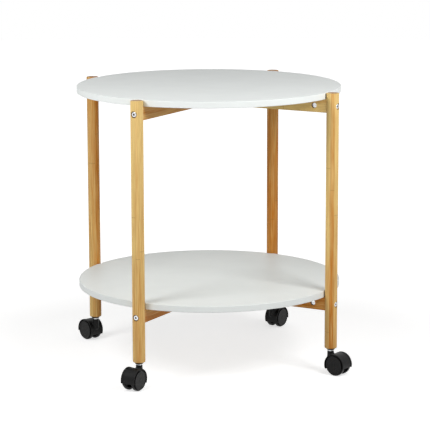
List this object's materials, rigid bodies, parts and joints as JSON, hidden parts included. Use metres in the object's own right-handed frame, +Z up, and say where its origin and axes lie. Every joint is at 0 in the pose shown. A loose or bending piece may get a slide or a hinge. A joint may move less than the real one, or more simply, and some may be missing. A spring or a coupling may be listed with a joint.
{
  "type": "rolling side table",
  "caption": "Round two-tier side table with an open bamboo frame of round legs and crossed rails, white round shelves and twin-wheel swivel casters.",
  "frame": {"origin": "on the floor under the centre of the table", "axes": "+Z up; the front leg stands at -Y, the right leg at +X, the back leg at +Y and the left leg at -X"},
  "size_m": [0.6041, 0.6018, 0.53],
  "materials": {
    "white_lacquer": "satin white lacquer on fibreboard",
    "bamboo": "laminated bamboo, clear satin varnish",
    "zinc_steel": "bright zinc plating",
    "black_nylon": "satin moulded nylon",
    "dark_nylon": "moulded nylon"
  },
  "bodies": {
    "root": {"tabletop": "white_lacquer", "lower_shelf": "white_lacquer", "upper_rail_x": "bamboo", "upper_rail_y": "bamboo", "lower_rail_x": "bamboo", "lower_rail_y": "bamboo", "upper_frame_bolts": "zinc_steel", "lower_frame_bolts": "zinc_steel", "upper_barrel_nuts": "zinc_steel", "lower_barrel_nuts": "zinc_steel", "tabletop_screws": "zinc_steel", "shelf_screws": "zinc_steel", "stem_grip_rings": "zinc_steel", "front_leg": "bamboo", "front_leg_socket": "dark_nylon", "front_caster_stem": "zinc_steel", "right_leg": "bamboo", "right_leg_socket": "dark_nylon", "right_caster_stem": "zinc_steel", "back_leg": "bamboo", "back_leg_socket": "dark_nylon", "back_caster_stem": "zinc_steel", "left_leg": "bamboo", "left_leg_socket": "dark_nylon", "left_caster_stem": "zinc_steel"},
    "front_caster": {"front_caster_housing": "black_nylon", "front_caster_axle": "zinc_steel"},
    "front_left_wheel": {"front_caster_left_wheel": "black_nylon"},
    "front_right_wheel": {"front_caster_right_wheel": "black_nylon"},
    "right_caster": {"right_caster_housing": "black_nylon", "right_caster_axle": "zinc_steel"},
    "right_left_wheel": {"right_caster_left_wheel": "black_nylon"},
    "right_right_wheel": {"right_caster_right_wheel": "black_nylon"},
    "back_caster": {"back_caster_housing": "black_nylon", "back_caster_axle": "zinc_steel"},
    "back_left_wheel": {"back_caster_left_wheel": "black_nylon"},
    "back_right_wheel": {"back_caster_right_wheel": "black_nylon"},
    "left_caster": {"left_caster_housing": "black_nylon", "left_caster_axle": "zinc_steel"},
    "left_left_wheel": {"left_caster_left_wheel": "black_nylon"},
    "left_right_wheel": {"left_caster_right_wheel": "black_nylon"}
  },
  "joints": [
    {"name": "front_swivel", "type": "hinge", "parent": "root", "child": "front_caster", "pos_m": [0, -0.261, 0.0436], "axis": [0, 0, 1], "continuous": true},
    {"name": "front_left_wheel_spin", "type": "hinge", "parent": "front_caster", "child": "front_left_wheel", "pos_m": [-0.0009, -0.27818, 0.0199], "axis": [0.9986, -0.0523, 0], "continuous": true},
    {"name": "front_right_wheel_spin", "type": "hinge", "parent": "front_caster", "child": "front_right_wheel", "pos_m": [-0.0009, -0.27818, 0.0199], "axis": [0.9986, -0.0523, 0], "continuous": true},
    {"name": "right_swivel", "type": "hinge", "parent": "root", "child": "right_caster", "pos_m": [0.261, 0, 0.0436], "axis": [0, 0, 1], "continuous": true},
    {"name": "right_left_wheel_spin", "type": "hinge", "parent": "right_caster", "child": "right_left_wheel", "pos_m": [0.27799, -0.00269, 0.0199], "axis": [0.1564, 0.9877, 0], "continuous": true},
    {"name": "right_right_wheel_spin", "type": "hinge", "parent": "right_caster", "child": "right_right_wheel", "pos_m": [0.27799, -0.00269, 0.0199], "axis": [0.1564, 0.9877, 0], "continuous": true},
    {"name": "back_swivel", "type": "hinge", "parent": "root", "child": "back_caster", "pos_m": [0, 0.261, 0.0436], "axis": [0, 0, 1], "continuous": true},
    {"name": "back_left_wheel_spin", "type": "hinge", "parent": "back_caster", "child": "back_left_wheel", "pos_m": [0.0018, 0.27811, 0.0199], "axis": [-0.9945, 0.1045, 0], "continuous": true},
    {"name": "back_right_wheel_spin", "type": "hinge", "parent": "back_caster", "child": "back_right_wheel", "pos_m": [0.0018, 0.27811, 0.0199], "axis": [-0.9945, 0.1045, 0], "continuous": true},
    {"name": "left_swivel", "type": "hinge", "parent": "root", "child": "left_caster", "pos_m": [-0.261, 0, 0.0436], "axis": [0, 0, 1], "continuous": true},
    {"name": "left_left_wheel_spin", "type": "hinge", "parent": "left_caster", "child": "left_left_wheel", "pos_m": [-0.27721, 0.00574, 0.0199], "axis": [-0.3338, -0.9426, 0], "continuous": true},
    {"name": "left_right_wheel_spin", "type": "hinge", "parent": "left_caster", "child": "left_right_wheel", "pos_m": [-0.27721, 0.00574, 0.0199], "axis": [-0.3338, -0.9426, 0], "continuous": true}
  ]
}
